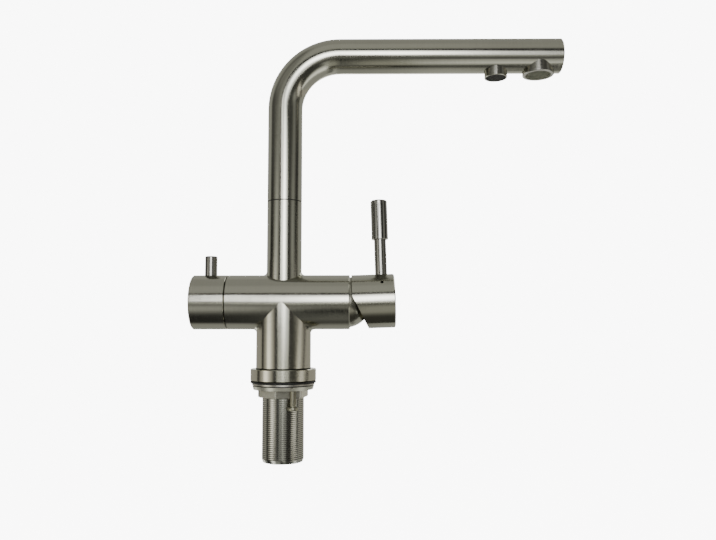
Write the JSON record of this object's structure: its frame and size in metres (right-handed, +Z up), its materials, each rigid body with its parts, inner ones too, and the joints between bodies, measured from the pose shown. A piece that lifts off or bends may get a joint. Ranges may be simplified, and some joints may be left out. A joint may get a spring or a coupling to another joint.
{
  "type": "three way filtered water kitchen tap",
  "caption": "Brushed steel three way kitchen tap with a swivel spout, a mixer lever, a filtered water knob and separate mixed and filtered outlets.",
  "frame": {"origin": "middle of the base on the top face of the worktop, at the underside of the base seal", "axes": "+Z up, +X along the spout arm towards the mixer lever, -Y the front that the picture shows"},
  "size_m": [0.2989, 0.052, 0.3416],
  "materials": {
    "brushed_steel": "fine brushed stainless steel, slightly warm",
    "threaded_steel": "machined stainless steel",
    "washer_steel": "plain stamped steel",
    "nut_metal": "nickel-plated brass, dull",
    "brass": "turned brass, as machined",
    "zinc_stem": "yellow-passivated cast metal",
    "ceramic": "lapped ceramic",
    "cartridge_plastic": "white moulded plastic",
    "black_rubber": "black rubber",
    "black_plastic": "black moulded plastic",
    "pex_tube": "milky plastic tube",
    "mixed_insert": "dark olive mesh insert",
    "dark_insert": "black mesh insert",
    "dark_screw": "black oxide steel"
  },
  "bodies": {
    "root": {"tee_body": "brushed_steel", "base_ring": "brushed_steel", "base_seal": "black_rubber", "threaded_shank": "threaded_steel", "clamp_washer": "washer_steel", "slip_washer": "black_plastic", "back_nut": "nut_metal", "jack_screws": "washer_steel", "cartridge_base": "cartridge_plastic", "cartridge_housing": "cartridge_plastic", "port_seals": "black_rubber", "fixed_disc": "ceramic", "cartridge_nut": "brass", "dome_cap": "brushed_steel", "valve_headwork": "brass", "valve_seat_seal": "black_rubber", "valve_fixed_disc": "ceramic", "swivel_spigot": "brass", "spigot_o_rings": "black_rubber", "spigot_clip": "washer_steel", "swivel_ring": "black_plastic"},
    "spout": {"spout_tube": "brushed_steel", "spout_end_plate": "brushed_steel", "swivel_bush": "cartridge_plastic", "filtered_water_tube": "pex_tube", "mixed_outlet_neck": "brushed_steel", "aerator_ring": "brushed_steel", "aerator_insert": "mixed_insert", "filtered_outlet_neck": "brushed_steel", "filtered_outlet_insert": "dark_insert"},
    "carrier": {"stem_carrier": "cartridge_plastic", "stem_pin": "washer_steel"},
    "handle": {"lever_stem": "zinc_stem", "handle_drum": "brushed_steel", "handle_grub_screw": "dark_screw", "lever_rod": "brushed_steel", "lever_grip": "brushed_steel"},
    "disc": {"sliding_disc": "ceramic", "disc_driver": "cartridge_plastic"},
    "filter_knob": {"valve_spindle": "brass", "valve_turning_disc": "ceramic", "filter_cap": "brushed_steel", "filter_pin": "brushed_steel"}
  },
  "joints": [
    {"name": "spout_swivel", "type": "hinge", "parent": "root", "child": "spout", "pos_m": [0, 0, 0.145], "axis": [0, 0, 1], "continuous": true},
    {"name": "temperature_turn", "type": "hinge", "parent": "root", "child": "carrier", "pos_m": [0.0495, 0, 0.064], "axis": [1, 0, 0], "range_deg": [-50, 50]},
    {"name": "flow_tilt", "type": "hinge", "parent": "carrier", "child": "handle", "pos_m": [0.0495, 0, 0.064], "axis": [0, 1, 0], "range_deg": [0, 25]},
    {"name": "disc_slide", "type": "slide", "parent": "carrier", "child": "disc", "axis": [0, 0, 1], "range_m": [0, 0.0054]},
    {"name": "filter_turn", "type": "hinge", "parent": "root", "child": "filter_knob", "pos_m": [-0.0589, 0, 0.064], "axis": [1, 0, 0], "range_deg": [0, 90]}
  ],
  "couplings": [
    {"joint": "disc_slide", "follows": "flow_tilt", "m_per_rad": 0.012201}
  ]
}
